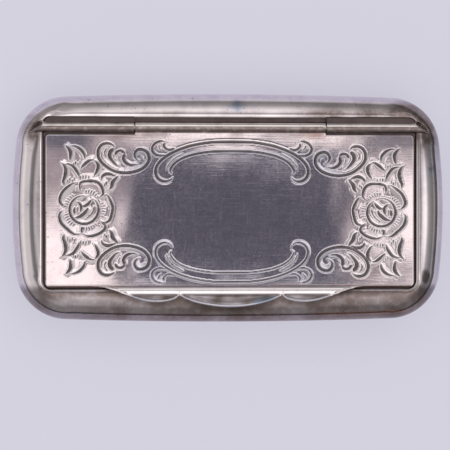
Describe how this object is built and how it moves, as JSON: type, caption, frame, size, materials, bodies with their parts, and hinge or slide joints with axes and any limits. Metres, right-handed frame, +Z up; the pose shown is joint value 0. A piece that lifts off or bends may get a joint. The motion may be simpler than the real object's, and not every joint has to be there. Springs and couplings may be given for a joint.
{
  "type": "hinged pocket case",
  "caption": "Cushion-shaped engraved silver pocket case in snuff-box form, with a flush lid on a full-width tube hinge and a scalloped thumbpiece.",
  "frame": {"origin": "middle of the flat underside, on the table", "axes": "+X along the hinge, +Y from the thumbpiece to the hinge, +Z up out of the lid"},
  "size_m": [0.085, 0.0448, 0.0146],
  "materials": {
    "case_silver": "worn polished silver, warm tarnish in the hollows",
    "lid_silver": "worn polished silver, fine scratches, bright-cut engraving",
    "hinge_silver": "brown-tarnished drawn silver tube",
    "inner_silver": "dull unpolished silver",
    "pin_metal": "dark drawn wire and filed solder"
  },
  "bodies": {
    "case": {"lower_shell": "case_silver", "upper_shell": "case_silver", "opening_frame": "inner_silver", "hinge_gutter": "inner_silver", "knuckle_left": "hinge_silver", "knuckle_right": "hinge_silver", "hinge_pin": "pin_metal", "pin_plug_left": "pin_metal", "pin_plug_right": "pin_metal"},
    "lid": {"lid_plate": "lid_silver", "lid_bezel": "inner_silver", "thumbpiece": "case_silver", "knuckle_lid": "hinge_silver"}
  },
  "joints": [
    {"name": "lid_hinge", "type": "hinge", "parent": "case", "child": "lid", "pos_m": [0, 0.0157, 0.0134], "axis": [-1, 0, 0], "range_deg": [0, 105]}
  ]
}
